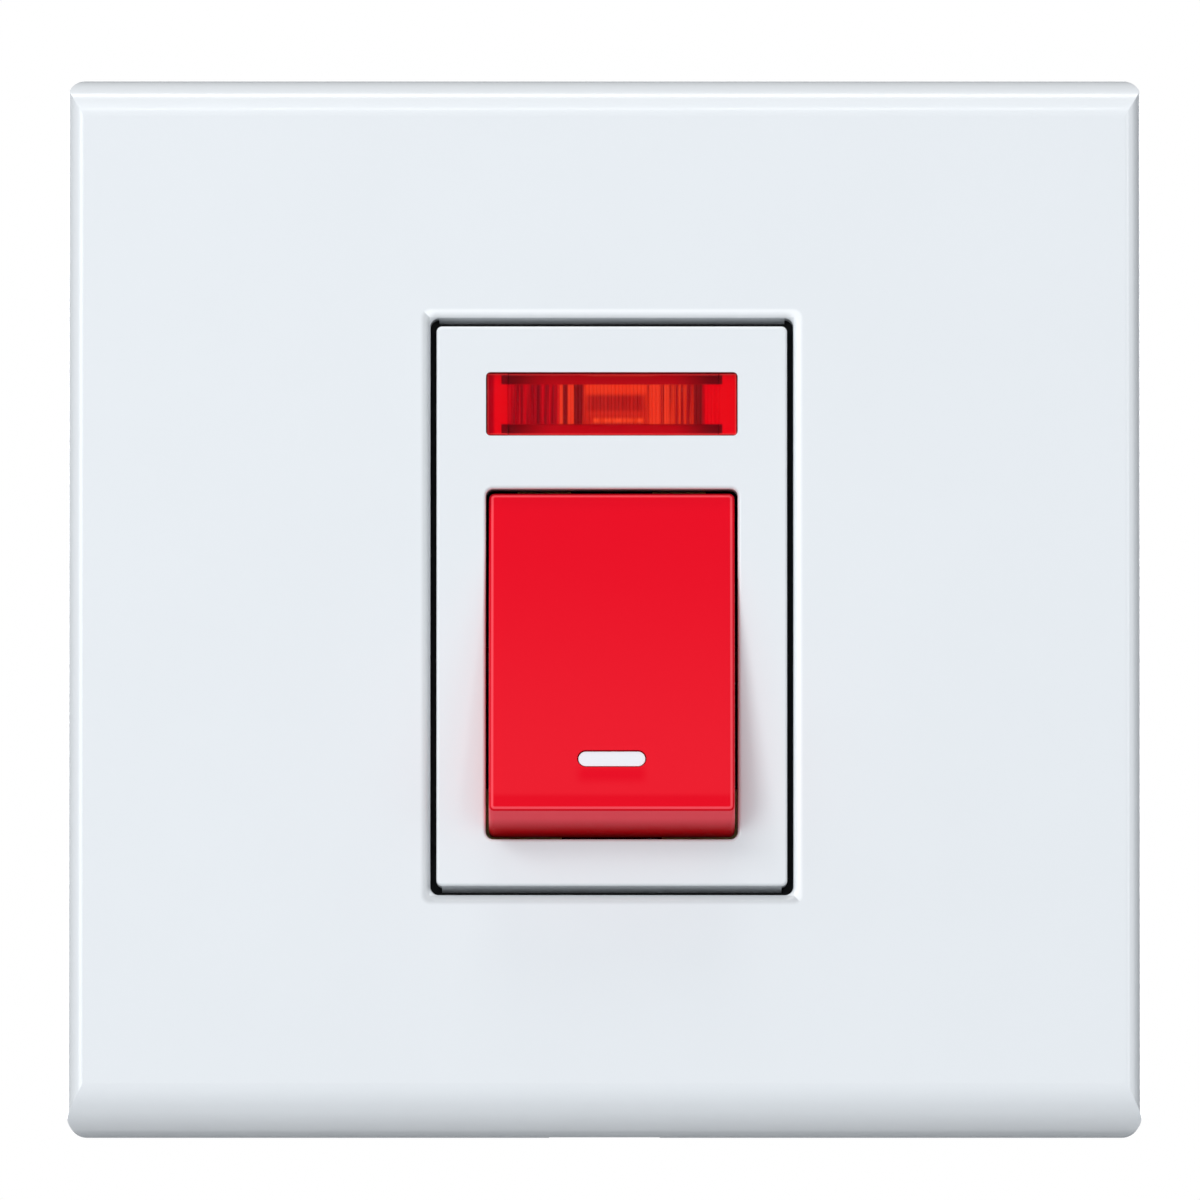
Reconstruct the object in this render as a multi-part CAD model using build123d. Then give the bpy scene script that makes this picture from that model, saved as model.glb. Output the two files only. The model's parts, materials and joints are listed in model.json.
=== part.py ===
from build123d import *
import os
from math import asin, cos, radians, sin

# Double pole switch with an indicator lamp, on a screwless single-gang plate.
# Millimetres. X to the right, Y into the wall, Z up. The origin lies midway
# between the two wall-box screws, on the wall plane, where the plate's rim ends.

# Cover plate
plate_width = 87.0
plate_height = 85.7
plate_depth = 7.0
plate_wall = 2.0
plate_corner = 1.5
plate_top_round = 3.0
plate_low_round = 4.2
plate_side_round = 1.3
window_gap_side = 0.5
window_gap_end = 0.7
window_corner = 0.7
window_lip_round = 0.6
window_taper = 0.3
collar_wall = 1.2
collar_clearance = 0.2
rib_wall = 0.9
rib_height = 1.0
rib_spacing = 18.0
notch_width = 9.0
notch_height = 1.2

# Hooks of the plate and their catches in the frame
hook_side_inset = 17.0
hook_end_inset = 6.0
hook_width = 6.0
hook_wall = 1.4
hook_barb = 0.9
hook_end_gap = 0.4
catch_ledge = 1.1
catch_gap = 0.15
catch_clearance = 0.3

# Support frame
frame_clearance = 1.5
frame_thickness = 2.4
frame_corner = 3.0
frame_rim_wall = 1.4
frame_rim_rise = 1.0
frame_gap = 0.3
pocket_margin = 2.0
pocket_depth = 1.2
pocket_corner = 1.5
fixing_spacing = 60.3
fixing_hole_radius = 1.9
fixing_slot_length = 6.4
fixing_head_radius = 3.5
fixing_head_depth = 1.0

# Module bezel, which sits a little right of the plate's centre
module_shift = 0.6
bezel_width = 28.4
bezel_height = 45.4
bezel_proud = 0.4
bezel_corner = 0.45
bezel_round = 0.25
bezel_taper = 0.4
bezel_face = 2.0
bezel_wall = 1.4
hole_side_margin = 4.0
hole_low_margin = 3.8
hole_high_margin = 13.2
hole_wall = 1.0
hole_depth = 3.6
hole_corner = 0.6
hole_lip_round = 0.3
cheek_half_height = 3.6

# Rocker, drawn about its pivot and then tilted with its top pressed in
pivot_depth = 2.8
rocker_face = 4.7
rocker_back = 2.6
rocker_wall = 1.4
rocker_round = 0.45
rocker_tilt = 11.0
rocker_side_gap = 0.25
rocker_end_gap = 0.25
rocker_web = 1.0
trunnion_radius = 1.5
trunnion_length = 1.9
trunnion_clearance = 0.05
marker_width = 5.4
marker_height = 1.2
marker_offset = 8.9
marker_depth = 0.6
marker_recess = 0.14
marker_clearance = 0.10

# Plungers and their springs, one for each pole
pole_inset = 4.45
plunger_radius = 1.6
plunger_nose = 1.2
plunger_reach = 9.0
plunger_tail = 1.2
plunger_shoulder = 6.8
plunger_clearance = 0.06
boss_wall = 1.0
boss_back = 5.4
spring_wire = 0.4
spring_turns = 4.0
spring_clearance = 0.15

# See-saw contact levers
lever_arm = 9.8
lever_width = 4.0
lever_thickness = 0.8
lever_bend = 14.0
lever_swing = 10.0
lever_gap = 0.2
lever_corner = 1.0
lever_pin_radius = 0.6
lever_pin_clearance = 0.05
lever_pin_overhang = 0.2
lever_tip_offset = 8.4
lever_tip_radius = 1.4
lever_tip_height = 1.0
lever_tip_dome = 2.5

# Fixed contacts and strips
contact_gap = 0.1
fixed_tip_radius = 1.6
fixed_tip_height = 0.8
strip_width = 4.4
strip_thickness = 1.0
ear_thickness = 0.8
ear_width = 3.0
ear_guide = 0.8
ear_side_gap = 0.2

# Terminals
block_width = 7.6
block_height = 7.6
block_depth = 10.0
block_corner = 0.5
foot_reach = 0.22
tunnel_radius = 2.2
tunnel_set = 4.0
screw_radius = 1.7
screw_clearance = 0.05
screw_tip_gap = 0.3
screw_stand = 0.4
screw_head_radius = 2.9
screw_head_height = 1.8
screw_head_chamfer = 0.4
screw_slot_width = 0.8
screw_slot_depth = 0.9

# Housing
housing_inset = 0.4
housing_wall = 1.5
housing_corner = 1.0
flange_reach = 1.6
flange_thickness = 1.2
floor_wall = 1.4
shelf_wall = 1.4
divider_wall = 1.2
divider_gap = 0.9
barrier_wall = 1.2
barrier_gap = 0.6
bay_gap = 0.4
tower_wall = 1.4
block_clearance = 0.15
strip_clearance = 0.1
rear_recess = 0.8
entry_radius = 2.7
keeper_gap = 0.2
keeper_clearance = 0.05
keeper_root = 5.0
stop_offset = 8.6
stop_width = 1.6
stop_gap = 0.15

# Snaps: the housing into the bezel, and the housing behind the frame
tab_width = 7.0
tab_wall = 1.1
tab_gap = 0.15
tab_reach = 1.6
tab_root = 2.5
tab_nub = 0.55
tab_nub_length = 0.9
tab_pocket_gap = 0.1
clip_z = 15.0
clip_width = 4.4
clip_reach = 0.9
clip_length = 2.5
clip_gap = 0.15
clip_slit = 0.8
clip_slit_length = 7.0

# Indicator lens and lamp
lens_margin = 3.8
lens_height = 5.0
lens_corner = 0.3
lens_gap = 0.08
lens_flange_reach = 1.0
lens_flange_thickness = 1.0
flute_pitch = 0.6
flute_count = 30
flute_radius = 0.25
flute_margin = 0.8
lamp_gap = 1.2
lamp_radius = 2.3
lamp_length = 10.0
lamp_wall = 0.5
lamp_base = 1.6
lamp_clearance = 0.05
saddle_spacing = 8.4
saddle_wall = 1.0
saddle_reach = 0.6
lens_post_wall = 1.0
lens_post_height = 6.0
electrode_radius = 0.45
electrode_spacing = 1.5
electrode_length = 5.5
resistor_radius = 1.1
resistor_length = 6.0
resistor_round = 0.5
lead_radius = 0.25
lead_bend = 0.8
lead_clearance = 0.3
lead_post_gap = 1.0
lead_turn_gap = 1.8

# Heights of the rocker's pivot and of the lens
rocker_z = (hole_low_margin - hole_high_margin) / 2
lens_z = bezel_height / 2 - lens_margin - lens_height / 2

# Depths, from the front to the back
plate_front = -plate_depth
plate_inside = plate_front + plate_wall
frame_front = -frame_thickness
bezel_front = plate_front - bezel_proud
bezel_inside = bezel_front + bezel_face
bezel_back = frame_front - flange_thickness
hole_back = bezel_front + hole_depth
pivot_y = bezel_front + pivot_depth
fulcrum_reach = plunger_reach + (
    plunger_nose + lever_gap + lever_thickness / 2
) / cos(radians(lever_bend))
fulcrum_y = pivot_y + fulcrum_reach
closed_angle = radians(lever_bend - lever_swing)
dome_centre = lever_thickness / 2 + lever_tip_height - lever_tip_dome
closed_dome_y = fulcrum_y - lever_tip_offset * sin(closed_angle) + dome_centre * cos(closed_angle)
closed_dome_z = rocker_z + lever_tip_offset * cos(closed_angle) + dome_centre * sin(closed_angle)
fixed_tip_front = closed_dome_y + lever_tip_dome + contact_gap
strip_front = fixed_tip_front + fixed_tip_height
floor_front = strip_front + strip_thickness
floor_back = floor_front + floor_wall
shelf_back = strip_front - strip_clearance
shelf_front = shelf_back - shelf_wall
block_back = floor_front + block_depth
tunnel_y = floor_front + tunnel_set
screw_tip = tunnel_y + tunnel_radius + screw_tip_gap
head_front = block_back + screw_stand
head_back = head_front + screw_head_height
housing_front = bezel_back
housing_back = head_back + rear_recess
lens_back = bezel_inside + lens_flange_thickness
lamp_y = lens_back + lamp_gap + lamp_radius
resistor_y = shelf_front - resistor_radius - lamp_clearance

# Widths and heights that follow from the ones above
frame_width = plate_width - 2 * (plate_wall + frame_clearance)
frame_height = plate_height - 2 * (plate_wall + frame_clearance)
hook_spacing = frame_width - 2 * hook_side_inset
hook_rise = frame_height / 2 - hook_end_inset
window_width = bezel_width + 2 * window_gap_side
window_height = bezel_height + 2 * window_gap_end
hole_width = bezel_width - 2 * hole_side_margin
hole_height = bezel_height - hole_low_margin - hole_high_margin
rocker_width = hole_width - 2 * rocker_side_gap
rocker_radius = hole_height / 2 - rocker_end_gap
pole_spacing = rocker_width - 2 * pole_inset
lens_width = hole_width - 2 * lens_gap
lens_post_spacing = lens_width + lens_flange_reach
lead_drop = (lens_post_spacing - lens_post_wall) / 2 - lead_post_gap - lead_radius
lead_turn = lead_drop - lead_turn_gap
housing_width = bezel_width - 2 * housing_inset
housing_height = bezel_height - 2 * housing_inset
frame_opening_width = housing_width + 2 * frame_gap
frame_opening_height = housing_height + 2 * frame_gap
skirt_x = bezel_width / 2 - bezel_wall
skirt_z = bezel_height / 2 - bezel_wall
inner_x = housing_width / 2 - housing_wall
inner_z = housing_height / 2 - housing_wall
terminal_spacing = 2 * (inner_x - bay_gap) - block_width
terminal_z = inner_z - bay_gap - block_height / 2
foot_width = block_width + 2 * foot_reach
foot_height = block_height + 2 * foot_reach
divider_z = rocker_z + rocker_radius + divider_gap
neon_z = divider_z + divider_wall
bay_low = terminal_z - block_height / 2 - bay_gap
bay_high = terminal_z + block_height / 2 + bay_gap
bay_side = terminal_spacing / 2 - block_width / 2 - bay_gap
tower_low = bay_low - tower_wall
bore_radius = plunger_radius + plunger_clearance
boss_radius = bore_radius + boss_wall
face_inside = -rocker_face + rocker_wall
rear_swing = rocker_radius * sin(asin(rocker_back / rocker_radius) + radians(rocker_tilt))
barrier_front = pivot_y + rear_swing + barrier_gap
bearing_radius = trunnion_radius + trunnion_clearance
ear_x = lever_width / 2 + ear_side_gap
pin_reach = ear_x + ear_thickness + lever_pin_overhang
stop_y = (
    fulcrum_y
    - stop_offset * sin(closed_angle)
    + lever_thickness / 2 * cos(closed_angle)
    + stop_gap
)
stop_z = rocker_z - stop_offset * cos(closed_angle)

# Places of the parts that tilt, and of the module in the plate
rocker_place = Location((0, pivot_y, rocker_z), (-rocker_tilt, 0, 0))
lever_place = Location((0, fulcrum_y, rocker_z), (lever_swing, 0, 0))
module_place = Pos(module_shift, 0, 0)


def slab(width, height, front, back, radius=0.0, x=0.0, z=0.0):
    """Upright block with rounded corners, between two depths."""
    outline = RectangleRounded(width, height, radius) if radius else Rectangle(width, height)
    plane = Plane(origin=(x, back, z), x_dir=(1, 0, 0), z_dir=(0, -1, 0))
    return extrude(plane * outline, amount=back - front)


def bar(x, y, z):
    """Plain wall or rib between three pairs of limits."""
    size = [high - low for low, high in (x, y, z)]
    middle = [(high + low) / 2 for low, high in (x, y, z)]
    return Pos(*middle) * Box(*size)


def rod(radius, start, end):
    """Round bar from one point to another."""
    path = Vector(*end) - Vector(*start)
    return extrude(Plane(origin=start, z_dir=path) * Circle(radius), amount=path.length)


def across(outline, width):
    """Side view, drawn in depth and height, made solid evenly to both sides."""
    plane = Plane(origin=(0, 0, 0), x_dir=(0, 1, 0), z_dir=(1, 0, 0))
    return extrude(plane * outline, amount=width / 2, both=True)


def front_edges(shape):
    """Edges of the foremost flat face."""
    return shape.faces().filter_by(Axis.Y).sort_by(Axis.Y)[0].outer_wire().edges()


def front_hole_edges(shape):
    """Edges of the hole in the foremost flat face."""
    return shape.faces().filter_by(Axis.Y).sort_by(Axis.Y)[0].inner_wires()[0].edges()


def taper_wedge(width, front, back, z, reach):
    """Thin wedge on a level wall, which grows from nothing in front to its reach at the back."""
    outline = Polygon((front, z), (back, z), (back, z - reach), align=None)
    return across(outline, width)


def hook():
    """Upper hook of the plate, with its barb to the outside."""
    low = hook_rise - hook_wall / 2
    high = hook_rise + hook_wall / 2
    barb_front = frame_front + catch_ledge + catch_gap
    outline = Polygon(
        (plate_inside, low),
        (plate_inside, high),
        (barb_front, high),
        (barb_front, high + hook_barb),
        (-hook_end_gap, high),
        (-hook_end_gap, low),
        align=None,
    )
    return across(outline, hook_width)


def cover_plate():
    """Shell with round front edges, a collared window tapered at its top, ribs, hooks and a pry notch."""
    section = Pos(plate_front / 2, 0) * Rectangle(plate_depth, plate_height)
    low, high = section.vertices().group_by(Axis.X)[0].sort_by(Axis.Y)
    section = fillet(high, plate_top_round)
    section = fillet(section.vertices().sort_by_distance(low)[0], plate_low_round)
    plan = Pos(0, plate_front / 2) * Rectangle(plate_width, plate_depth)
    plan = fillet(plan.vertices().group_by(Axis.Y)[0], plate_side_round)
    plate = slab(plate_width, plate_height, plate_front, 0, plate_corner)
    plate = plate & across(section, plate_width) & extrude(plan, amount=plate_height / 2, both=True)
    inside_width = plate_width - 2 * plate_wall
    inside_height = plate_height - 2 * plate_wall
    plate -= slab(inside_width, inside_height, plate_inside, 0, plate_corner)
    for step in (-1.5, -0.5, 0.5, 1.5):
        plate += slab(inside_width, rib_wall, plate_inside, plate_inside + rib_height, z=step * rib_spacing)
    plate += slab(
        window_width + 2 * collar_wall,
        window_height + 2 * collar_wall,
        plate_inside,
        bezel_back - collar_clearance,
        window_corner + collar_wall,
        module_shift,
    )
    plate -= slab(window_width, window_height, plate_front, 0, window_corner, module_shift)
    plate = fillet(front_hole_edges(plate), window_lip_round)
    plate += Pos(module_shift, 0, 0) * taper_wedge(
        window_width - 2 * window_corner,
        plate_front + window_lip_round,
        bezel_back - collar_clearance,
        window_height / 2,
        window_taper,
    )
    for side in (-1, 1):
        upper = Pos(side * hook_spacing / 2, 0, 0) * hook()
        plate += upper
        plate += mirror(upper, Plane.XY)
    notch_z = -plate_height / 2
    plate -= slab(notch_width, 2 * plate_wall, -notch_height, 0, z=notch_z)
    return plate


def frame_pockets(high):
    """Four pockets in the frame's back, which leave ribs round the slots, the opening and the edge."""
    inner = frame_opening_width / 2 + module_shift + pocket_margin
    outer = frame_width / 2 - pocket_margin
    low = fixing_head_radius + pocket_margin
    pockets = Part()
    for side in (-1, 1):
        for end in (-1, 1):
            x = side * (inner + outer) / 2
            z = end * (low + high) / 2
            pockets += slab(outer - inner, high - low, -pocket_depth, 0, pocket_corner, x, z)
    return pockets


def support_frame():
    """Moulded frame with a stiffening rim, two screw slots, four catches and pockets behind."""
    frame = slab(frame_width, frame_height, frame_front - frame_rim_rise, 0, frame_corner)
    frame -= slab(
        frame_width - 2 * frame_rim_wall,
        frame_height - 2 * frame_rim_wall,
        frame_front - frame_rim_rise,
        frame_front,
        frame_corner - frame_rim_wall,
    )
    frame -= slab(frame_opening_width, frame_opening_height, frame_front, 0, housing_corner, module_shift)
    for side in (-1, 1):
        wall = Plane(origin=(side * fixing_spacing / 2, 0, 0), x_dir=(1, 0, 0), z_dir=(0, -1, 0))
        slot = wall * SlotOverall(fixing_slot_length, 2 * fixing_hole_radius)
        frame -= extrude(slot, amount=frame_thickness)
        head_length = fixing_slot_length + 2 * (fixing_head_radius - fixing_hole_radius)
        sunk = wall.offset(frame_thickness - fixing_head_depth)
        head = sunk * SlotOverall(head_length, 2 * fixing_head_radius)
        frame -= extrude(head, amount=fixing_head_depth)
    low = hook_rise - hook_wall / 2 - catch_clearance
    high = hook_rise + hook_wall / 2 + catch_clearance
    frame -= frame_pockets(low - pocket_margin)
    recess_high = high + hook_barb
    ledge_back = frame_front + catch_ledge
    slot_width = hook_width + 2 * catch_clearance
    for side in (-1, 1):
        x = side * hook_spacing / 2
        span = (x - slot_width / 2, x + slot_width / 2)
        catch = bar(span, (frame_front, 0), (low, high))
        catch += bar(span, (ledge_back, 0), (low, recess_high))
        frame -= catch
        frame -= mirror(catch, Plane.XY)
    return frame


def bezel_cheek(side):
    """Block beside the rocker hole that carries a trunnion."""
    near = side * hole_width / 2
    far = side * (skirt_x + bezel_wall / 2)
    height = (rocker_z - cheek_half_height, rocker_z + cheek_half_height)
    depth = (bezel_inside - bezel_face / 2, bezel_back)
    return bar((min(near, far), max(near, far)), depth, height)


def bezel_bearing(side):
    """Space cut for a trunnion: round in front, open to the back."""
    near = side * (hole_width / 2 - hole_wall)
    far = side * skirt_x
    span = (min(near, far), max(near, far))
    slot = bar(span, (pivot_y, bezel_back), (rocker_z - bearing_radius, rocker_z + bearing_radius))
    return slot + rod(bearing_radius, (span[0], pivot_y, rocker_z), (span[1], pivot_y, rocker_z))


def module_bezel():
    """Front of the module: a tray with the rocker hole and the lens window, tapered below."""
    bezel = slab(bezel_width, bezel_height, bezel_front, bezel_back, bezel_corner)
    bezel = fillet(front_edges(bezel), bezel_round)
    bezel += taper_wedge(
        bezel_width - 2 * bezel_corner,
        bezel_front + bezel_round,
        bezel_back,
        -bezel_height / 2,
        bezel_taper,
    )
    bezel -= slab(2 * skirt_x, 2 * skirt_z, bezel_inside, bezel_back)
    bezel += slab(
        hole_width + 2 * hole_wall,
        hole_height + 2 * hole_wall,
        bezel_inside,
        hole_back,
        hole_corner + hole_wall,
        z=rocker_z,
    )
    for side in (-1, 1):
        bezel += bezel_cheek(side)
    bezel -= slab(hole_width, hole_height, bezel_front, bezel_back, hole_corner, z=rocker_z)
    for side in (-1, 1):
        bezel -= bezel_bearing(side)
    bezel = fillet(front_hole_edges(bezel), hole_lip_round)
    bezel -= slab(
        lens_width + 2 * lens_gap,
        lens_height + 2 * lens_gap,
        bezel_front,
        bezel_inside,
        lens_corner + lens_gap,
        z=lens_z,
    )
    nub_front = housing_front - tab_reach
    pocket = slab(
        tab_width + 2 * tab_pocket_gap,
        2 * (tab_nub - tab_gap + tab_pocket_gap),
        nub_front - tab_pocket_gap,
        nub_front + tab_nub_length + tab_pocket_gap,
        z=skirt_z,
    )
    return bezel - pocket - mirror(pocket, Plane.XY)


def rocker_outline(inset, back):
    """Side view of the rocker: a flat face, ends round about the pivot, a flat rear."""
    front = -rocker_face + inset
    band = Pos((front + back) / 2, 0) * Rectangle(back - front, 2 * rocker_radius)
    return Circle(rocker_radius - inset) & band


def rocker_body():
    """Hollow rocker with trunnions, bosses for the plungers and a pocket for the marker."""
    rocker = across(rocker_outline(0, rocker_back), rocker_width)
    ends = rocker.edges().filter_by(GeomType.CIRCLE)
    rocker = fillet(front_edges(rocker) + ends, rocker_round)
    rocker -= across(rocker_outline(rocker_wall, rocker_back), rocker_width - 2 * rocker_wall)
    web_span = (-rocker_width / 2 + rocker_wall / 2, rocker_width / 2 - rocker_wall / 2)
    rocker += bar(web_span, (face_inside - rocker_wall / 2, rocker_back), (-rocker_web / 2, rocker_web / 2))
    root = face_inside - rocker_wall / 2
    for side in (-1, 1):
        x = side * pole_spacing / 2
        rocker += rod(boss_radius, (x, root, 0), (x, boss_back, 0))
        rocker -= rod(bore_radius, (x, face_inside, 0), (x, boss_back, 0))
        inner = side * (rocker_width / 2 - rocker_wall / 2)
        outer = side * (rocker_width / 2 + trunnion_length)
        rocker += rod(trunnion_radius, (inner, 0, 0), (outer, 0, 0))
    rocker -= marker_shape(-rocker_face, -rocker_face + marker_depth, marker_clearance)
    return rocker_place * rocker


def marker_shape(front, back, clearance):
    """Upright bar with round ends on the lower half of the rocker's face."""
    plane = Plane(origin=(0, back, -marker_offset), x_dir=(1, 0, 0), z_dir=(0, -1, 0))
    outline = SlotOverall(marker_width + 2 * clearance, marker_height + 2 * clearance)
    return extrude(plane * outline, amount=back - front)


def rocker_marker():
    """White bar let into the face, a hair below it."""
    return rocker_place * marker_shape(-rocker_face + marker_recess, -rocker_face + marker_depth, 0)


def plunger(side):
    """Peg with a round nose, which slides in the rocker's boss."""
    outline = Polyline(
        (0, plunger_tail),
        (plunger_radius, plunger_tail),
        (plunger_radius, plunger_shoulder),
        (plunger_nose, plunger_shoulder + plunger_radius - plunger_nose),
        (plunger_nose, plunger_reach),
    )
    nose = CenterArc((0, plunger_reach), plunger_nose, 0, 90)
    middle = Line((0, plunger_reach + plunger_nose), (0, plunger_tail))
    peg = revolve(make_face(outline + nose + middle), Axis.Y)
    return rocker_place * Pos(side * pole_spacing / 2, 0, 0) * peg


def plunger_spring(side):
    """Coil spring between the bottom of the boss and the plunger."""
    low = face_inside + spring_wire / 2
    length = plunger_tail - face_inside - spring_wire
    radius = bore_radius - spring_clearance - spring_wire / 2
    path = Helix(pitch=length / spring_turns, height=length, radius=radius)
    section = Plane(origin=path @ 0, z_dir=path % 0) * Circle(spring_wire / 2)
    coil = sweep(section, path=path, is_frenet=True)
    return rocker_place * Pos(side * pole_spacing / 2, low, 0) * Rot(-90, 0, 0) * coil


def lever(side):
    """Bent strip with pins at its bend, upper arm forward."""
    bend = radians(lever_bend)
    half = lever_thickness / 2
    end_y = -lever_arm * sin(bend)
    end_z = lever_arm * cos(bend)
    outline = Polygon(
        (-half / cos(bend), 0),
        (end_y - half * cos(bend), end_z - half * sin(bend)),
        (end_y + half * cos(bend), end_z + half * sin(bend)),
        (half / cos(bend), 0),
        (end_y + half * cos(bend), -end_z - half * sin(bend)),
        (end_y - half * cos(bend), -end_z + half * sin(bend)),
        align=None,
    )
    strip = across(outline, lever_width)
    corners = strip.edges().filter_by(lambda edge: abs(edge.length - lever_thickness) < 1e-6)
    strip = fillet(corners, lever_corner)
    strip += rod(lever_pin_radius, (lever_width / 2 - half, 0, 0), (pin_reach, 0, 0))
    strip += rod(lever_pin_radius, (half - lever_width / 2, 0, 0), (-pin_reach, 0, 0))
    return lever_place * Pos(side * pole_spacing / 2, 0, 0) * strip


def lever_tip(side):
    """Domed contact rivet on the back of the upper arm."""
    base = lever_thickness / 2
    top = base + lever_tip_height
    rivet = rod(lever_tip_radius, (0, base, 0), (0, top, 0))
    rivet &= Pos(0, dome_centre, 0) * Sphere(lever_tip_dome)
    bend = radians(lever_bend)
    arm = Location((0, -lever_tip_offset * sin(bend), lever_tip_offset * cos(bend)), (lever_bend, 0, 0))
    return lever_place * Pos(side * pole_spacing / 2, 0, 0) * arm * rivet


def fixed_tip(side):
    """Flat contact rivet that the lever's tip meets."""
    x = side * pole_spacing / 2
    rivet = rod(fixed_tip_radius, (x, fixed_tip_front, closed_dome_z), (x, strip_front, closed_dome_z))
    rim = rivet.edges().filter_by(GeomType.CIRCLE).sort_by(Axis.Y)[0]
    return chamfer(rim, fixed_tip_height / 4)


def flat_strip(side, start_z, end_z):
    """Strip on the floor from a round pad to the terminal block, with a foot over the block's seat."""
    x = side * pole_spacing / 2
    block_x = side * terminal_spacing / 2
    strip = slab(strip_width, abs(end_z - start_z), strip_front, floor_front, z=(start_z + end_z) / 2, x=x)
    strip += rod(strip_width / 2, (x, strip_front, start_z), (x, floor_front, start_z))
    return strip + slab(foot_width, foot_height, strip_front, floor_front, block_corner, block_x, end_z)


def fixed_strip(side):
    """Strip from the fixed contact up to the outgoing terminal."""
    return flat_strip(side, closed_dome_z, terminal_z)


def fulcrum_strip(side):
    """Strip from the lever's fulcrum, two notched ears, down to the incoming terminal."""
    x = side * pole_spacing / 2
    strip = flat_strip(side, rocker_z, -terminal_z)
    strip += slab(2 * (ear_x + ear_thickness), ear_width, strip_front, floor_front, z=rocker_z, x=x)
    notch = lever_pin_radius + lever_pin_clearance
    ear_front = fulcrum_y - ear_guide
    height = (rocker_z - ear_width / 2, rocker_z + ear_width / 2)
    for ear in (-1, 1):
        inner = x + ear * ear_x
        outer = x + ear * (ear_x + ear_thickness)
        span = (min(inner, outer), max(inner, outer))
        strip += bar(span, (ear_front, floor_front), height)
        strip -= rod(notch, (span[0], fulcrum_y, rocker_z), (span[1], fulcrum_y, rocker_z))
        strip -= bar(span, (ear_front, fulcrum_y), (rocker_z - notch, rocker_z + notch))
    return strip


def terminal_block(side, end):
    """Brass block with a wire tunnel and a threaded hole behind it."""
    x = side * terminal_spacing / 2
    z = end * terminal_z
    block = slab(block_width, block_height, floor_front, block_back, block_corner, x, z)
    block -= rod(tunnel_radius, (x, tunnel_y, z - block_height / 2), (x, tunnel_y, z + block_height / 2))
    block -= rod(screw_radius + screw_clearance, (x, tunnel_y, z), (x, block_back, z))
    return block


def terminal_screw(side, end):
    """Slotted screw, backed out of the tunnel as supplied."""
    x = side * terminal_spacing / 2
    z = end * terminal_z
    head = rod(screw_head_radius, (x, head_front, z), (x, head_back, z))
    head = chamfer(head.edges().sort_by(Axis.Y)[-1], screw_head_chamfer)
    half_slot = screw_slot_width / 2
    across_head = (x - screw_head_radius, x + screw_head_radius)
    head -= bar(across_head, (head_back - screw_slot_depth, head_back), (z - half_slot, z + half_slot))
    return head + rod(screw_radius, (x, screw_tip, z), (x, head_front, z))


def terminal_screws():
    """All four screws as one group."""
    return Compound([terminal_screw(side, end) for side in (-1, 1) for end in (-1, 1)])


def housing_shell():
    """Stepped body with a flange, hollow in front, with a terminal tower at each end."""
    half = housing_height / 2
    outline = Polygon(
        (housing_front, -half),
        (housing_front, half),
        (housing_back, half),
        (housing_back, tower_low),
        (floor_back, tower_low),
        (floor_back, -tower_low),
        (housing_back, -tower_low),
        (housing_back, -half),
        align=None,
    )
    shell = across(outline, housing_width)
    corners = shell.edges().filter_by(Axis.Y)
    corners = corners.filter_by(lambda edge: abs(edge.center().Z) > half - housing_wall)
    shell = fillet(corners, housing_corner)
    shell += slab(
        housing_width + 2 * flange_reach,
        housing_height + 2 * flange_reach,
        housing_front,
        frame_front,
        housing_corner + flange_reach,
    )
    shell -= bar((-inner_x, inner_x), (housing_front, floor_front), (-inner_z, divider_z))
    shell -= bar((-inner_x, inner_x), (housing_front, shelf_front), (neon_z, inner_z))
    return shell


def terminal_bay(side, end):
    """Space cut for one terminal: the bay, the seats of the block and its foot, and the wire entry."""
    x = side * terminal_spacing / 2
    z = end * terminal_z
    near = side * bay_side
    far = side * inner_x
    span = (min(near, far), max(near, far))
    height = (min(end * bay_low, end * bay_high), max(end * bay_low, end * bay_high))
    bay = bar(span, (floor_back, housing_back), height)
    seat_width = block_width + 2 * block_clearance
    seat_height = block_height + 2 * block_clearance
    bay += slab(seat_width, seat_height, floor_front, floor_back, x=x, z=z)
    foot_seat = (foot_width + 2 * block_clearance, foot_height + 2 * block_clearance)
    bay += slab(*foot_seat, strip_front - strip_clearance, floor_front, x=x, z=z)
    return bay + rod(entry_radius, (x, tunnel_y, z), (x, tunnel_y, end * housing_height / 2))


def strip_channel(side):
    """Slot under the divider and the shelf for the fixed contact's strip."""
    x = side * pole_spacing / 2
    half = strip_width / 2 + strip_clearance
    return bar((x - half, x + half), (shelf_back, floor_front), (divider_z, terminal_z))


def trunnion_keeper(side):
    """Post that closes the bearing in the bezel from behind."""
    near = side * (hole_width / 2 + keeper_gap)
    tip = side * (skirt_x - keeper_gap)
    wall = side * (housing_width / 2 - housing_wall / 2)
    half = bearing_radius - keeper_clearance
    height = (rocker_z - half, rocker_z + half)
    post = bar((min(near, tip), max(near, tip)), (pivot_y, housing_front + keeper_root), height)
    post += bar((min(near, wall), max(near, wall)), (housing_front, housing_front + keeper_root), height)
    return post - rod(bearing_radius, (near, pivot_y, rocker_z), (tip, pivot_y, rocker_z))


def housing_tab(end):
    """Springy tab at an end of the housing, with a nub that snaps into the bezel's wall."""
    outer = skirt_z - tab_gap
    inner = outer - tab_wall
    tip = housing_front - tab_reach
    outline = Polygon(
        (tip, inner),
        (tip, outer),
        (tip + tab_nub_length, outer + tab_nub),
        (tip + tab_nub_length, outer),
        (housing_front, outer),
        (housing_front, inner_z + housing_wall / 2),
        (housing_front + tab_root, inner_z + housing_wall / 2),
        (housing_front + tab_root, inner_z),
        (housing_front, inner),
        align=None,
    )
    tab = across(outline, tab_width)
    return tab if end > 0 else mirror(tab, Plane.XY)


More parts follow.
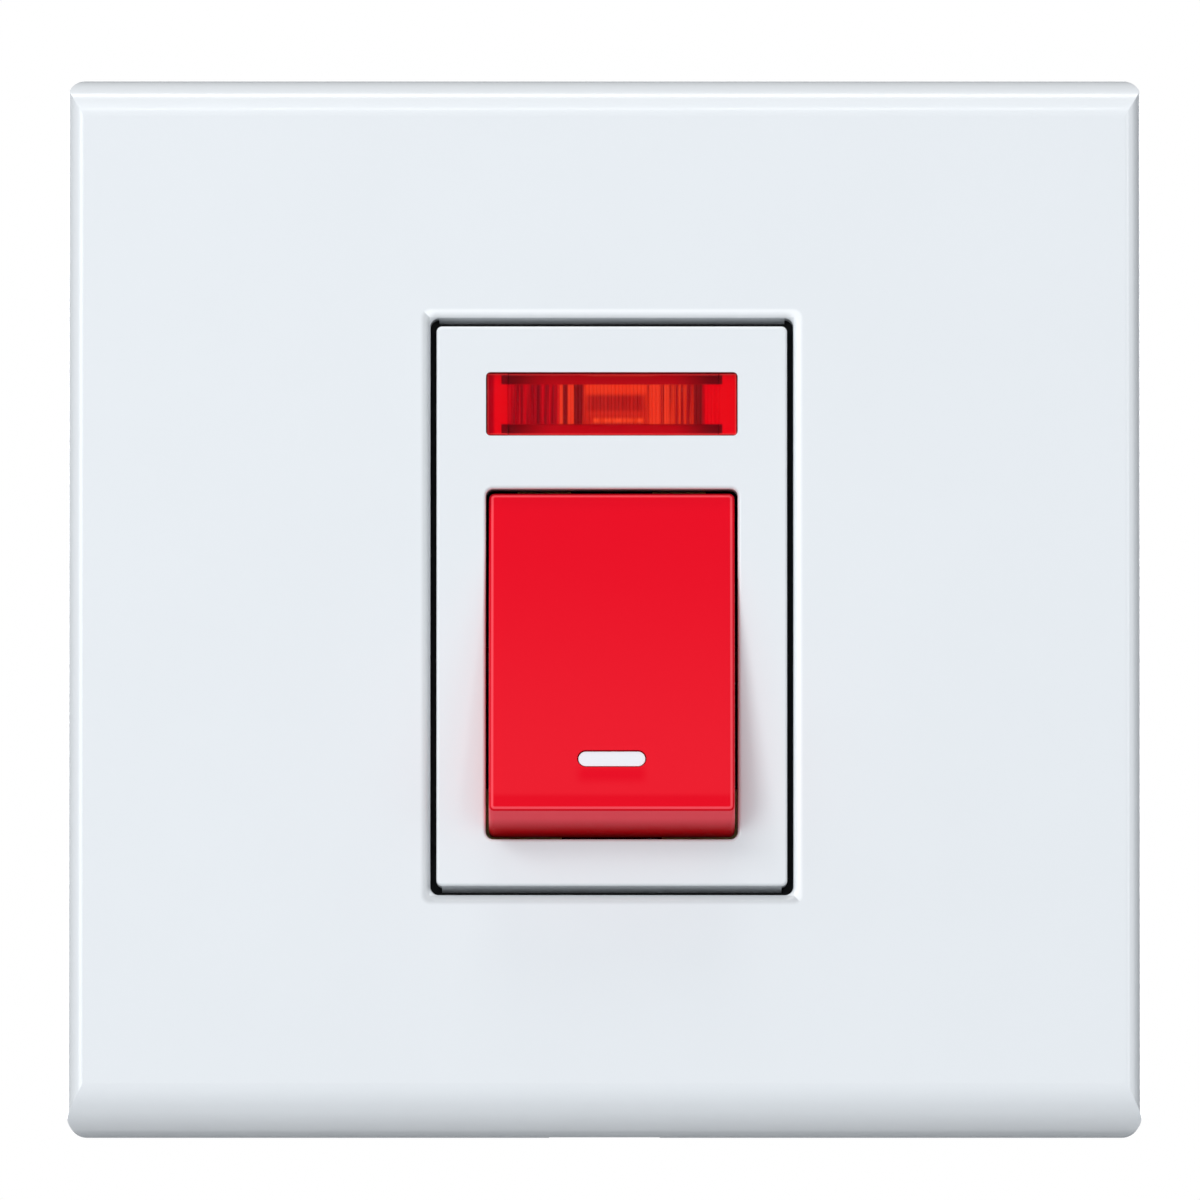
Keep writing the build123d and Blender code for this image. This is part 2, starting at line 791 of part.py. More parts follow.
def frame_clip(side, end):
    """Ramp on the side wall that holds behind the frame."""
    x = housing_width / 2
    root = x - housing_wall / 2
    ramp = Polygon(
        (root, clip_gap),
        (x + clip_reach, clip_gap),
        (x, clip_gap + clip_length),
        (root, clip_gap + clip_length),
        align=None,
    )
    solid = Pos(0, 0, end * clip_z) * extrude(ramp, amount=clip_width / 2, both=True)
    return solid if side > 0 else mirror(solid, Plane.YZ)


def clip_slits(side, end):
    """Slit on three sides of a tongue, which frees the wall under a frame clip."""
    inner = side * inner_x
    outer = side * housing_width / 2
    span = (min(inner, outer), max(inner, outer))
    tongue_end = frame_front + clip_slit_length
    half = clip_width / 2 + clip_slit
    middle = end * clip_z
    slits = bar(span, (frame_front, tongue_end + clip_slit), (middle - half, middle + half))
    return slits - bar(span, (frame_front, tongue_end), (middle - clip_width / 2, middle + clip_width / 2))


def neon_supports():
    """Saddles for the lamp and posts that hold the lens, on the shelf."""
    supports = Part()
    half = lamp_radius + saddle_reach
    root = shelf_front + shelf_wall / 2
    for side in (-1, 1):
        x = side * saddle_spacing / 2
        span = (x - saddle_wall / 2, x + saddle_wall / 2)
        supports += bar(span, (lamp_y, root), (lens_z - half, lens_z + half))
        post = side * lens_post_spacing / 2
        post_span = (post - lens_post_wall / 2, post + lens_post_wall / 2)
        post_height = (lens_z - lens_post_height / 2, lens_z + lens_post_height / 2)
        supports += bar(post_span, (lens_back, root), post_height)
    ends = saddle_spacing / 2 + saddle_wall
    supports -= rod(lamp_radius + lamp_clearance, (-ends, lamp_y, lens_z), (ends, lamp_y, lens_z))
    supports -= rod(lead_radius + lead_clearance, (-ends, resistor_y, lens_z), (ends, resistor_y, lens_z))
    return supports


def housing():
    """Moulded body of the module with all its seats, snaps and bays."""
    body = housing_shell()
    half = barrier_wall / 2
    body += bar((-half, half), (barrier_front, floor_front), (-inner_z, divider_z))
    low = stop_z - stop_width / 2
    body += bar((-inner_x, inner_x), (stop_y, shelf_back), (low, low + stop_width))
    body += neon_supports()
    for side in (-1, 1):
        body -= strip_channel(side)
        body += trunnion_keeper(side)
        for end in (-1, 1):
            body -= terminal_bay(side, end)
            body -= clip_slits(side, end)
            body += frame_clip(side, end)
    for end in (-1, 1):
        body += housing_tab(end)
    for side, z in ((1, lens_z - electrode_spacing / 2), (-1, lens_z)):
        x = side * lead_drop
        body -= rod(lead_radius + lead_clearance, (x, shelf_front, z), (x, shelf_back, z))
    return body


def neon_lens():
    """Lens flush with the bezel, with a flange behind it and upright flutes on its back."""
    lens = slab(lens_width, lens_height, bezel_front, lens_back, lens_corner, z=lens_z)
    lens += slab(
        lens_width + 2 * lens_flange_reach,
        lens_height + 2 * lens_flange_reach,
        bezel_inside,
        lens_back,
        lens_corner,
        z=lens_z,
    )
    grooves = Sketch() + GridLocations(flute_pitch, 0, flute_count, 1) * Circle(flute_radius)
    half = lens_height / 2 - flute_margin
    flutes = extrude(Pos(0, lens_back, lens_z) * grooves, amount=half, both=True)
    return lens - flutes


def neon_lamp():
    """Glass tube with a domed end, and a sealed end that the leads pass through."""
    left = -lamp_length / 2
    right = lamp_length / 2
    inner = lamp_radius - lamp_wall
    outside = Polyline((left + lamp_radius, lamp_radius), (right, lamp_radius), (right, 0))
    outside += CenterArc((left + lamp_radius, 0), lamp_radius, 90, 90)
    glass = revolve(make_face(outside + Line((left, 0), (right, 0))), Axis.X)
    inside_end = right - lamp_base
    hollow = Polyline((left + lamp_radius, inner), (inside_end, inner), (inside_end, 0))
    hollow += CenterArc((left + lamp_radius, 0), inner, 90, 90)
    glass -= revolve(make_face(hollow + Line((left + lamp_wall, 0), (inside_end, 0))), Axis.X)
    for end in (-1, 1):
        z = end * electrode_spacing / 2
        glass -= rod(lead_radius + lamp_clearance, (inside_end, 0, z), (right, 0, z))
    return Pos(0, lamp_y, lens_z) * glass


def neon_electrodes():
    """Two parallel electrodes inside the lamp."""
    right = lamp_length / 2 - lamp_base
    rods = []
    for end in (-1, 1):
        z = lens_z + end * electrode_spacing / 2
        rods.append(rod(electrode_radius, (right - electrode_length, lamp_y, z), (right, lamp_y, z)))
    return Compound(rods)


def neon_resistor():
    """Series resistor on the shelf behind the lamp."""
    half = resistor_length / 2
    body = rod(resistor_radius, (-half, resistor_y, lens_z), (half, resistor_y, lens_z))
    return fillet(body.edges().filter_by(GeomType.CIRCLE), resistor_round)


def lead(points):
    """Round wire along straight runs with bends between them."""
    path = FilletPolyline(*points, radius=lead_bend)
    section = Plane(origin=path @ 0, z_dir=path % 0) * Circle(lead_radius)
    return sweep(section, path=path)


def neon_leads():
    """Lamp to resistor, lamp to the live strip, and resistor to the neutral strip."""
    start = lamp_length / 2 - lamp_base
    upper = lens_z + electrode_spacing / 2
    lower = lens_z - electrode_spacing / 2
    half = resistor_length / 2
    to_resistor = lead(
        [
            (start, lamp_y, upper),
            (lead_turn, lamp_y, upper),
            (lead_turn, resistor_y, lens_z),
            (half, resistor_y, lens_z),
        ]
    )
    to_live = lead([(start, lamp_y, lower), (lead_drop, lamp_y, lower), (lead_drop, strip_front, lower)])
    to_neutral = lead(
        [(-half, resistor_y, lens_z), (-lead_drop, resistor_y, lens_z), (-lead_drop, strip_front, lens_z)]
    )
    return Compound([to_resistor, to_live, to_neutral])


def module_parts():
    """Every piece that sits in the module, by name."""
    parts = {
        "module_bezel": module_bezel(),
        "neon_lens": neon_lens(),
        "rocker": rocker_body(),
        "rocker_marker": rocker_marker(),
        "housing": housing(),
        "terminal_screws": terminal_screws(),
        "neon_lamp": neon_lamp(),
        "neon_electrodes": neon_electrodes(),
        "neon_resistor": neon_resistor(),
        "neon_leads": neon_leads(),
    }
    for pole, side in (("live", 1), ("neutral", -1)):
        parts[pole + "_plunger"] = plunger(side)
        parts[pole + "_plunger_spring"] = plunger_spring(side)
        parts[pole + "_lever"] = lever(side)
        parts[pole + "_lever_tip"] = lever_tip(side)
        parts[pole + "_fulcrum_strip"] = fulcrum_strip(side)
        parts[pole + "_fixed_strip"] = fixed_strip(side)
        parts[pole + "_fixed_tip"] = fixed_tip(side)
        parts[pole + "_in_terminal"] = terminal_block(side, -1)
        parts[pole + "_out_terminal"] = terminal_block(side, 1)
    return parts


def main():
    """Build every piece in its place and write it out."""
    os.makedirs("parts", exist_ok=True)
    export_step(cover_plate(), "parts/cover_plate.step")
    export_step(support_frame(), "parts/support_frame.step")
    for name, shape in module_parts().items():
        export_step(module_place * shape, f"parts/{name}.step")


main()
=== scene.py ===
import json
from math import cos, pi, radians, sin, tan

import bmesh
import bpy
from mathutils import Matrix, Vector

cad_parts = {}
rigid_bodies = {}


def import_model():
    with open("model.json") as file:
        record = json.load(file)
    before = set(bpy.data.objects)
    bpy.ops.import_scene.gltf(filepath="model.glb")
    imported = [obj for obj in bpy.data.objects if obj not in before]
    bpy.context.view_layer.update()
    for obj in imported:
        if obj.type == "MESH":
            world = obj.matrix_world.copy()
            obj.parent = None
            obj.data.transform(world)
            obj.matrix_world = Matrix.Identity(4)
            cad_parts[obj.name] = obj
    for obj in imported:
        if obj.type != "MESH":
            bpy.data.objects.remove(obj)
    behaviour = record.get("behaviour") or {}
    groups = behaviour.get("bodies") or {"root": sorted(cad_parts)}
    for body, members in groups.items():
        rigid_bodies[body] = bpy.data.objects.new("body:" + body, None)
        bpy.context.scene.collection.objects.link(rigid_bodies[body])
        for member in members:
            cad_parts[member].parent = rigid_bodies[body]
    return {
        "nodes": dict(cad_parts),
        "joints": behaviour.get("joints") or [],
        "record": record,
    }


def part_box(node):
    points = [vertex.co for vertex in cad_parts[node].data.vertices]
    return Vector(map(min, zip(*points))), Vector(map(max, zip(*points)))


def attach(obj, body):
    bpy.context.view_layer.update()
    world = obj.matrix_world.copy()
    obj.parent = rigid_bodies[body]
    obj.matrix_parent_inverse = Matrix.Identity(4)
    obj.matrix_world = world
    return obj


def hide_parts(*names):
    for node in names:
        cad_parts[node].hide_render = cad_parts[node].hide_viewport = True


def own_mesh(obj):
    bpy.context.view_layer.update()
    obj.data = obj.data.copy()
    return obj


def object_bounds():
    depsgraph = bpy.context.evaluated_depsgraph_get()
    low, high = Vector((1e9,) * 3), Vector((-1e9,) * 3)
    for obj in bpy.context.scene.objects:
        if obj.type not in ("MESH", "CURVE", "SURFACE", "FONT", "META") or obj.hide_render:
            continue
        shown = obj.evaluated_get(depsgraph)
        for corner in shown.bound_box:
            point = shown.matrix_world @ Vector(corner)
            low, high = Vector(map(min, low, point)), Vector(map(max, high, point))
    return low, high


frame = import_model()
cad_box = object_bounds()

# Double pole switch with an indicator lens on a square screwless plate. The scene is in metres, in the
# part's own frame: X to the right, Y into the wall, Z up, with the wall plane at y = 0.
MM = 0.001

# Camera: a long lens, square on and a little below the middle
IMAGE_PIXELS = 1200
PIXELS_PER_MM = 12.345
PLATE_CENTRE_PX = (604.4, 606.2)
CAMERA_ELEVATION = -3.2
CAMERA_LENS = 700.0
SENSOR_WIDTH = 36.0
CAMERA_REACH = 20.0

# Floor: a pale disc well below the plate, in metres
FLOOR_DROP = 0.60
FLOOR_RADIUS = 0.40
FLOOR_SEGMENTS = 96

# Colours of the light
PLAIN_WHITE = (1.0, 1.0, 1.0)
WARM_WHITE = (1.0, 0.98, 0.95)
SURROUND_TINT = (0.93, 1.0, 1.068)

# Surround: its level, the directions and strengths of its glows, and how fast they fall off
SURROUND_LEVEL = 0.06
SURROUND_GLOWS = (((0, -1, 0), 0.75), ((0, 1, 0), 0.25))
GLOW_POWER = 2.0

# Soft lights: distance in metres, then name, azimuth, elevation and spreads in degrees, radiance, colour
LIGHT_DISTANCE = 1.6
LIGHTS = (
    ("key_softbox", -27, 37, (30, 14), 5.5, PLAIN_WHITE),
    ("side_softbox", -58, 37, (32, 24), 1.5, PLAIN_WHITE),
    ("left_strip", -32, 3, (19, 34), 4.4, PLAIN_WHITE),
    ("right_strip", 31, 3, (8, 24), 3.7, PLAIN_WHITE),
    ("right_softbox", 60, 10, (20, 40), 1.0, PLAIN_WHITE),
    ("top_strip", 0, 29, (12, 5), 4.7, PLAIN_WHITE),
    ("overhead_strip", 0, 74, (20, 12), 6.2, WARM_WHITE),
    ("rear_left_softbox", -150, 4, (40, 24), 4.4, PLAIN_WHITE),
    ("rear_right_softbox", 150, 4, (40, 24), 4.4, PLAIN_WHITE),
)

# Noise: where most of its values lie
NOISE_SPAN = (0.3, 0.7)

# Plastics: spots of tone, gloss and grain to the metre, spread of roughness, and grain height in mm
TONE_SPOTS = 60.0
GLOSS_SPOTS = 350.0
FINE_GRAIN = 4000.0
MATT_GRAIN = 2500.0
FLOOR_GRAIN = 300.0
GRAIN_DETAIL = 2.0
GRAIN_HEIGHT = 0.02
PLASTIC_SPREAD = 0.03

# Looks of the plastics: colour and roughness, and what differs from the usual tone, grain, relief and gloss
PLATE_LOOK = {"colour": (0.798, 0.818, 0.837), "roughness": 0.19, "tone": 0.006, "relief": 0.02}
FLOOR_LOOK = {"colour": (0.88, 0.88, 0.88), "roughness": 0.7, "tone": 0.01, "grain": FLOOR_GRAIN}
MATT_LOOK = {"grain": MATT_GRAIN, "relief": 0.25}
PLASTICS = {
    "marker_white": {"colour": (0.80, 0.795, 0.83), "roughness": 0.35, "tone": 0.01},
    "lens_red": {"colour": (0.70, 0.0, 0.012), "roughness": 0.10},
    "frame_grey": {"colour": (0.16, 0.165, 0.17), "roughness": 0.55, "tone": 0.08, **MATT_LOOK},
    "housing_dark": {
        "colour": (0.018, 0.018, 0.019), "roughness": 0.5, "tone": 0.15, "gloss": 0.12, **MATT_LOOK
    },
    "nylon": {"colour": (0.78, 0.76, 0.68), "roughness": 0.45, "tone": 0.05},
    "resistor_body": {"colour": (0.33, 0.22, 0.12), "roughness": 0.4, "tone": 0.15, "relief": 0.2},
}

# Metals: marks and tarnish spots to the metre, spread of roughness, and mark height in mm
METAL_MARKS = 6000.0
MARK_DETAIL = 3.0
MARK_ROUGHNESS = 0.5
MARK_RELIEF = 0.04
MARK_HEIGHT = 0.01
METAL_SPREAD = (-0.03, 0.05)
TARNISH_SPOTS = 400.0
TARNISH_TONE = 0.08

# Looks of the metals: colour, roughness, and the scale of their marks along each axis
METALS = {
    "brass": {"colour": (0.78, 0.56, 0.23), "roughness": 0.32, "stretch": (1.0, 0.08, 1.0)},
    "contact_silver": {"colour": (0.83, 0.82, 0.79), "roughness": 0.28, "stretch": (1.0, 1.0, 1.0)},
    "zinc_steel": {"colour": (0.66, 0.66, 0.64), "roughness": 0.34, "stretch": (1.0, 0.1, 1.0)},
    "spring_steel": {"colour": (0.55, 0.55, 0.56), "roughness": 0.30, "stretch": (1.0, 1.0, 0.2)},
}

# Lamp glass and clear lens face: ripples to the metre, tints and gloss
CLEAR_SPOTS = 900.0
GLASS_TINT = (0.95, 0.95, 0.93)
GLASS_IOR = 1.47
GLASS_ROUGHNESS = (0.02, 0.08)
GLASS_RIPPLES = 700.0
GLASS_RELIEF = 0.04
PANE_SPOTS = 500.0
PANE_TINTS = ((1.0, 0.78, 0.74), (1.0, 0.84, 0.80))
PANE_IOR = 1.12
PANE_ROUGHNESS = (0.05, 0.10)

# Window of the plate in mm: middle across, size, depth where its lips end, and width where they start
WINDOW_MIDDLE = 0.6
WINDOW_SIZE = (29.4, 46.8)
WINDOW_LIP_DEPTH = (0.8, 1.2)
WINDOW_LIP_START = 0.10

# Painted light on those lips, painted shade on the left and lower ones and a painted highlight on the upper
# and right ones: side, which is -1 for left and below, colour, reach and soft edge in mm
WINDOW_LIP_PAINTED_LIGHT = (
    (-1, (0.607, 0.622, 0.636), 0.65, 0.45),
    (1, (0.95, 0.96, 0.97), 0.70, 0.30),
)

# Rocker: tilt in degrees, gloss, and a painted sheen that makes it paler towards its lower end, as tones
# from its lower end to its upper end by height in mm, with a band of painted shade just above its lower lip
ROCKER_TILT = 11.0
ROCKER_GLOSS = 0.06
ROCKER_ROUGHNESS = (0.40, 0.46)
ROCKER_RELIEF = 0.10
ROCKER_SHEEN_FADE = (-16.0, 8.0)
ROCKER_PAINTED_SHEEN_REDS = ((0.81, 0.008, 0.0215), (0.78, 0.0, 0.013))
ROCKER_LIP = (-17.0, -15.5)
ROCKER_LIP_EDGE = 0.5
ROCKER_LIP_PAINTED_SHADE = (0.775, 0.0, 0.012)

# Rocker's lower end and its edges, told apart by how much they face the way its front does: painted shade
# low on the end face with a painted reflection above it, and painted highlights along the edges
END_FACING = (0.45, 0.55)
END_FADE = (-18.3, -17.25)
END_PAINTED_SHADE_AND_REFLECTION = ((0.55, 0.0, 0.004), (1.0, 0.081, 0.11))
EDGE_FACING = (0.80, 0.98)
EDGE_SOFTNESS = 0.03
EDGE_PAINTED_HIGHLIGHT = (0.95, 0.075, 0.10)

# Rocker's painted shade under its marker, and painted shade that darkens its trunnion hubs behind the
# bezel's front, in mm
MARK_SHADE_HEIGHT = 1.15
MARK_SHADE_EDGE = 1.0
MARK_SHADE_RED = (0.78, 0.0, 0.013)
HUB_HEIGHT = 3.2
HUB_EDGE = 0.2
HUB_DEPTH = (0.8, 1.1)
HUB_PAINTED_SHADE = (0.03, 0.0, 0.001)

# Indicator lens: sizes and places in mm from its middle, depths in mm behind its face
LENS_SIZE = (20.34, 5.08)
LENS_CORNER = 0.35
LENS_CORNER_SEGMENTS = 5
LENS_EDGE = 0.10
LENS_EDGE_SEGMENTS = 3
PANE_THICKNESS = 0.40
FLUTE_PITCH = 0.30
FLUTE_DEPTH = 0.08
FLUTE_SEGMENTS = 8
FLUTE_TOP = 0.62
TRAY_DEPTH = 1.1
CORE_BACK = 1.9
CORE_MARGIN = 0.01
CORE_CHAMFER = 0.08
CORE_ROUGHNESS = (0.25, 0.4)
BAND_EDGE = 1.62
BAND_DEPTH = 0.80
BAND_MARGIN = 0.12
PAD_DEPTH = 0.55
PAD_START = (-8.40, 8.70)

# Zones of the lens insert: a span in mm from its middle, and the width of its soft edge
FLUTE_ROWS = ((-BAND_EDGE, BAND_EDGE), 0.12)
FLUTED_ACROSS = ((-8.40, 7.50), 0.25)
GLOW_ACROSS = ((-4.2, 6.7), 0.8)
LAMP_ACROSS = ((-2.25, 2.85), 0.3)
EMBER_ACROSS = ((-2.05, 2.65), 0.7)
EMBER_ROWS = ((-0.54, 0.76), 0.5)
BEADS_ACROSS = ((-1.5, 2.6), 0.4)
BEAD_ROWS = ((-1.50, -1.12), 0.3)
BAND_ROWS = ((BAND_EDGE, LENS_SIZE[1] / 2 - BAND_MARGIN), 0.1)
BAND_ACROSS = ((-8.95, 8.95), 0.12)
GLINT_ACROSS = ((-2.0, 3.4), 1.6)

# Tones of the lens insert, as pairs to blend between, with the places of their fades in mm
PAD_FADE = (-9.7, -9.4)
PAD_TONES = ((0.48, 0.0, 0.018), (0.81, 0.001, 0.017))
FLUTE_TONES = ((0.22, 0.004, 0.018), (0.65, 0.003, 0.023))
# Glow, lamp, ember and bead tones are the lamp's orange glow, painted on
GLOW_TONES = ((0.38, 0.010, 0.022), (0.78, 0.070, 0.030))
LAMP_FADE = (-1.4, 1.5)
LAMP_TONES = ((0.62, 0.036, 0.028), (0.86, 0.084, 0.034))
EMBER_TONES = ((0.42, 0.018, 0.022), (0.56, 0.028, 0.028))
PAINTED_GLOW_BEADS = ((0.74, 0.070, 0.022), (0.96, 0.155, 0.060))
BAND_FADE = (4.6, 8.4)
BAND_TONES = ((0.50, 0.001, 0.015), (0.17, 0.001, 0.009))
GLINT_TONE = (0.85, 0.12, 0.05)

# Rim of the lens insert: its width in mm, a paler inner line of painted highlight and a darker outer line
# of painted shade
LENS_RIM = 0.10
RIM_PAINTED_LIGHT = ((2 * LENS_RIM, (0.78, 0.07, 0.09)), (LENS_RIM, (0.30, 0.0, 0.012)))

# Upright streaks of the lens insert: pitch in mm and offset of each kind, and how they are drawn out
FLUTE_STREAKS = (0.55, 3.0)
GLOW_STREAKS = (0.45, 7.0)
EMBER_STREAKS = (0.3, 1.0)
BEAD_STREAKS = (0.65, 5.0)
STREAK_STRETCH = (1.0, 0.0, 0.02)
STREAK_DETAIL = 3.0
STREAK_ROUGHNESS = 0.7
STREAK_CONTRAST = (0.38, 0.62)

# Single streaks beside the lamp: their tone and their spans in mm
STREAK_EDGE = 0.14
SINGLE_STREAKS = (
    ((0.86, 0.095, 0.045), ((-4.25, -3.97), (-3.56, -3.13), (3.10, 3.95), (4.25, 4.62))),
    ((0.25, 0.009, 0.018), ((-3.92, -3.62), (-3.05, -2.40), (6.65, 7.35))),
)

# Sockets of a Mix node that blends colours
MIX_FACTOR = 0
MIX_COLOURS = (6, 7)
MIX_RESULT = 2


def new_material(name):
    """An empty node material with a Principled shader on its output."""
    material = bpy.data.materials.new(name)
    material.use_nodes = True
    material.node_tree.nodes.clear()
    output = add_node(material, "ShaderNodeOutputMaterial")
    shader = add_node(material, "ShaderNodeBsdfPrincipled")
    link(material, shader.outputs["BSDF"], output.inputs["Surface"])
    return material, shader


def add_node(owner, kind, **values):
    """A node of that kind in a material or world, with the given input values and properties."""
    node = owner.node_tree.nodes.new(kind)
    for key, value in values.items():
        if key in node.inputs:
            node.inputs[key].default_value = value
        else:
            setattr(node, key, value)
    return node


def link(owner, source, target):
    """Joins an output socket to an input socket, or sets the input to a plain value."""
    if isinstance(source, bpy.types.NodeSocket):
        owner.node_tree.links.new(source, target)
    else:
        target.default_value = source


def place_of(owner):
    """Coordinates in the part's own frame, in metres."""
    return add_node(owner, "ShaderNodeTexCoord").outputs["Object"]


def millimetres(owner, origin=Vector((0, 0, 0))):
    """Coordinates in mm from an origin that is given in metres."""
    node = add_node(owner, "ShaderNodeMapping", Location=-origin / MM, Scale=(1 / MM, 1 / MM, 1 / MM))
    link(owner, place_of(owner), node.inputs["Vector"])
    return node.outputs["Vector"]


def axes_of(owner, vector):
    """The X, Y and Z of a vector."""
    node = add_node(owner, "ShaderNodeSeparateXYZ")
    link(owner, vector, node.inputs["Vector"])
    return node.outputs["X"], node.outputs["Y"], node.outputs["Z"]


def along(owner, vector, direction):
    """How far a vector points in a direction."""
    node = add_node(owner, "ShaderNodeVectorMath", operation="DOT_PRODUCT")
    link(owner, vector, node.inputs[0])
    link(owner, direction, node.inputs[1])
    return node.outputs["Value"]


def noise(owner, spots, detail=4.0, roughness=0.55, vector=None):
    """A noise value with about that many spots to each unit of the vector, or else to the metre."""
    node = add_node(owner, "ShaderNodeTexNoise", Scale=spots, Detail=detail, Roughness=roughness)
    if vector is None:
        vector = place_of(owner)
    link(owner, vector, node.inputs["Vector"])
    return node.outputs["Fac"]


def map_range(owner, value, source, target, kind):
    """Maps a value from one span to another, and no further than its ends."""
    node = add_node(owner, "ShaderNodeMapRange", interpolation_type=kind)
    for key, number in zip(("From Min", "From Max", "To Min", "To Max"), (*source, *target)):
        node.inputs[key].default_value = number
    link(owner, value, node.inputs["Value"])
    return node.outputs["Result"]


def vary(owner, value, low=0.0, high=1.0):
    """Spreads a noise value over low to high."""
    return map_range(owner, value, NOISE_SPAN, (low, high), "LINEAR")


def rise(owner, value, low, high):
    """0 below low, 1 above high, smooth between them, and the reverse where low is above high."""
    return map_range(owner, value, (low, high), (0.0, 1.0), "SMOOTHSTEP")


def maths(owner, operation, first, second=0.0):
    """A Math node of two sockets or numbers."""
    node = add_node(owner, "ShaderNodeMath", operation=operation)
    link(owner, first, node.inputs[0])
    link(owner, second, node.inputs[1])
    return node.outputs[0]


def zone(owner, value, span, soft):
    """1 inside a span of the value, fading out over a soft edge."""
    low, high = (rise(owner, value, end - soft / 2, end + soft / 2) for end in span)
    return maths(owner, "SUBTRACT", low, high)


def beyond(owner, value, low, high):
    """How far a value lies outside a span, with its sign."""
    over = maths(owner, "MAXIMUM", maths(owner, "SUBTRACT", value, high))
    under = maths(owner, "MINIMUM", maths(owner, "SUBTRACT", value, low))
    return maths(owner, "ADD", over, under)


def overlap(owner, first, *others):
    """Where all the given zones overlap."""
    for other in others:
        first = maths(owner, "MULTIPLY", first, other)
    return first


def opaque(colour):
    """A colour with full alpha."""
    return (*colour, 1.0)


def shade(colour, factor):
    """A colour made lighter or darker."""
    return tuple(min(1.0, channel * factor) for channel in colour)


def mix_colour(owner, factor, first, second):
    """Blends two colours, which are plain colours or sockets, by a factor."""
    node = add_node(owner, "ShaderNodeMix", data_type="RGBA")
    link(owner, factor, node.inputs[MIX_FACTOR])
    for colour, key in zip((first, second), MIX_COLOURS):
        is_socket = isinstance(colour, bpy.types.NodeSocket)
        link(owner, colour if is_socket else opaque(colour), node.inputs[key])
    return node.outputs[MIX_RESULT]


def mix_shaders(owner, factor, first, second):
    """Blends two shaders by a factor."""
    node = add_node(owner, "ShaderNodeMixShader")
    for source, target in zip((factor, first, second), node.inputs):
        link(owner, source, target)
    return node.outputs["Shader"]


def add_bump(material, shader, pattern, strength, height):
    """Fine relief on a shader's normal, with its height in mm."""
    bump = add_node(material, "ShaderNodeBump", Strength=strength, Distance=height * MM)
    link(material, pattern, bump.inputs["Height"])
    link(material, bump.outputs["Normal"], shader.inputs["Normal"])


def moulded_plastic(
    name, colour, roughness, tone=0.03, grain=FINE_GRAIN, relief=0.05, gloss=0.5, overlay=None
):
    """Moulded plastic: faint drift of tone and gloss, a fine grain, and any overlay on its colour."""
    material, shader = new_material(name)
    shader.inputs["Specular IOR Level"].default_value = gloss
    drift = vary(material, noise(material, TONE_SPOTS))
    tint = mix_colour(material, drift, shade(colour, 1 - tone), shade(colour, 1 + tone))
    if overlay:
        tint = overlay(material, tint)
    link(material, tint, shader.inputs["Base Color"])
    flow = noise(material, GLOSS_SPOTS)
    satin = vary(material, flow, roughness - PLASTIC_SPREAD, roughness + PLASTIC_SPREAD)
    link(material, satin, shader.inputs["Roughness"])
    add_bump(material, shader, noise(material, grain, GRAIN_DETAIL), relief, GRAIN_HEIGHT)
    return material


def painted_lip_light(material, tint):
    """Painted highlight along the upper and right lips of the plate's window, painted shade along the other
    two.
    """
    x, y, z = axes_of(material, millimetres(material))
    half_x, half_z = (size / 2 for size in WINDOW_SIZE)
    out_x = beyond(material, x, WINDOW_MIDDLE - half_x, WINDOW_MIDDLE + half_x)
    out_z = beyond(material, z, -half_z, half_z)
    square_x = maths(material, "MULTIPLY", out_x, out_x)
    square_z = maths(material, "MULTIPLY", out_z, out_z)
    away = maths(material, "SQRT", maths(material, "ADD", square_x, square_z))
    side = maths(material, "ADD", out_x, out_z)
    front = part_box("cover_plate")[0].y / MM
    shallow, deep = (front + depth for depth in WINDOW_LIP_DEPTH)
    ahead = rise(material, y, deep, shallow)
    outside = rise(material, away, 0.0, WINDOW_LIP_START)
    # Paints a highlight on the upper and right lips and shade on the left and lower ones
    for sign, tone, reach, edge in WINDOW_LIP_PAINTED_LIGHT:
        near = rise(material, away, reach + edge / 2, reach - edge / 2)
        turned = rise(material, side, -sign * WINDOW_LIP_START, sign * WINDOW_LIP_START)
        tint = mix_colour(material, overlap(material, near, turned, outside, ahead), tint, tone)
    return tint


def marker_shade(material, x, z):
    """Where the rocker is shaded, just under its marker."""
    low, high = (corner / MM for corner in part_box("rocker_marker"))
    under = zone(material, z, (low.z - MARK_SHADE_HEIGHT, low.z), MARK_SHADE_EDGE)
    return overlap(material, under, zone(material, x, (low.x, high.x), MARK_SHADE_EDGE))


def painted_hub_shade(material, y, z):
    """Where painted shade darkens the rocker's hubs, about its pivot and behind the bezel's front."""
    hinge = next(joint for joint in frame["joints"] if joint["name"] == "rocker_hinge")
    pivot = hinge["pos_m"][2] / MM
    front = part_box("module_bezel")[0].y / MM
    shallow, deep = (front + depth for depth in HUB_DEPTH)
    about = zone(material, z, (pivot - HUB_HEIGHT / 2, pivot + HUB_HEIGHT / 2), HUB_EDGE)
    return overlap(material, about, rise(material, y, shallow, deep))


